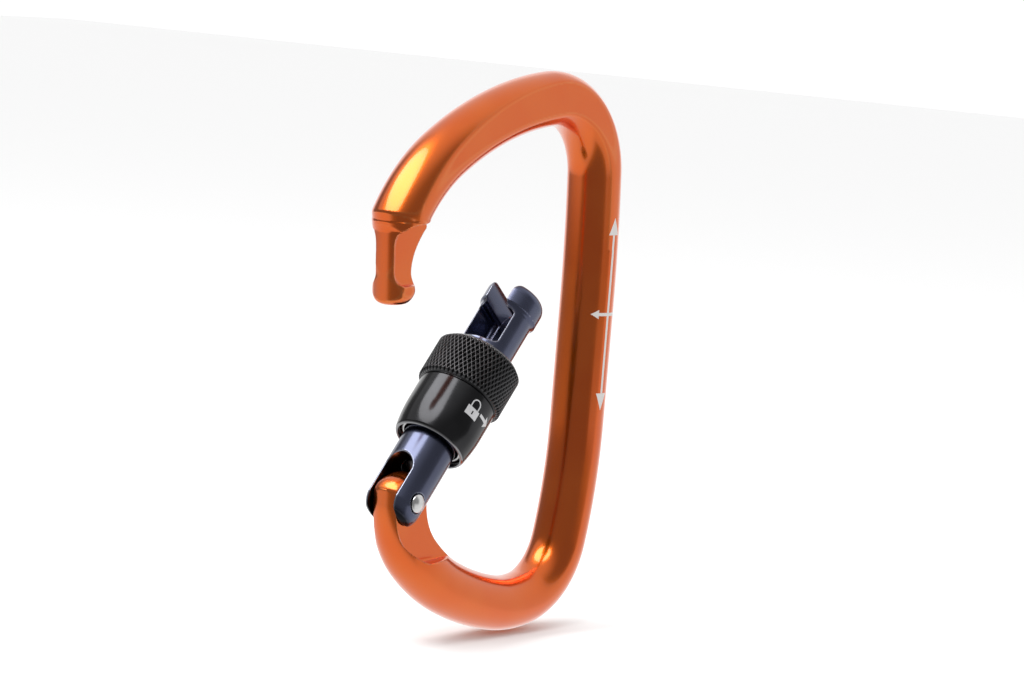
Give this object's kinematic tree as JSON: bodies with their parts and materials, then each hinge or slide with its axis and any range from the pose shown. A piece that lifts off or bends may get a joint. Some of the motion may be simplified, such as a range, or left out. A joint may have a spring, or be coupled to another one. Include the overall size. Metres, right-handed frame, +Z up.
{
  "type": "locking carabiner",
  "caption": "Screw-gate locking carabiner: bent round-bar D frame with a key-lock nose, a sprung hinged gate and a knurled sleeve that screws up over the nose.",
  "frame": {"origin": "centre of the bounding box, in the plane of the carabiner", "axes": "+Z up along the long side, +X from the gate side to the spine, Y across the bar"},
  "size_m": [0.0781, 0.0188, 0.1183],
  "materials": {
    "frame_anodised": "polished orange anodising",
    "gate_anodised": "polished navy blue-grey anodising",
    "sleeve_anodised": "black anodising, knurled grip band",
    "rivet_stainless": "stainless, domed and burnished",
    "ring_steel": "bright wire",
    "plunger_steel": "turned steel",
    "spring_steel": "spring wire"
  },
  "bodies": {
    "frame": {"frame_body": "frame_anodised", "hinge_rivet": "rivet_stainless"},
    "gate": {"gate_tube": "gate_anodised", "gate_spring": "spring_steel"},
    "plunger": {"spring_plunger": "plunger_steel"},
    "ring": {"sleeve_ring": "ring_steel"},
    "sleeve": {"locking_sleeve": "sleeve_anodised"}
  },
  "joints": [
    {"name": "gate_hinge", "type": "hinge", "parent": "frame", "child": "gate", "pos_m": [-0.0277, 0, -0.0285], "axis": [0, -1, 0], "range_deg": [0, 46.7], "stiffness_Nm_per_rad": 0.08, "springref_deg": 126.05},
    {"name": "plunger_slide", "type": "slide", "parent": "gate", "child": "plunger", "axis": [-0.6652, 0, -0.7466], "range_m": [0, 0.0016], "deforming": ["gate_spring"]},
    {"name": "sleeve_travel", "type": "slide", "parent": "gate", "child": "ring", "axis": [0.6652, 0, 0.7466], "range_m": [0, 0.0086]},
    {"name": "sleeve_spin", "type": "hinge", "parent": "ring", "child": "sleeve", "pos_m": [-0.0277, 0, -0.0285], "axis": [0.6652, 0, 0.7466], "range_deg": [0, 1530]}
  ],
  "couplings": [
    {"joint": "plunger_slide", "follows": "gate_hinge", "m_per_rad": 0.00191},
    {"joint": "sleeve_travel", "follows": "sleeve_spin", "m_per_rad": 0.00031831}
  ]
}
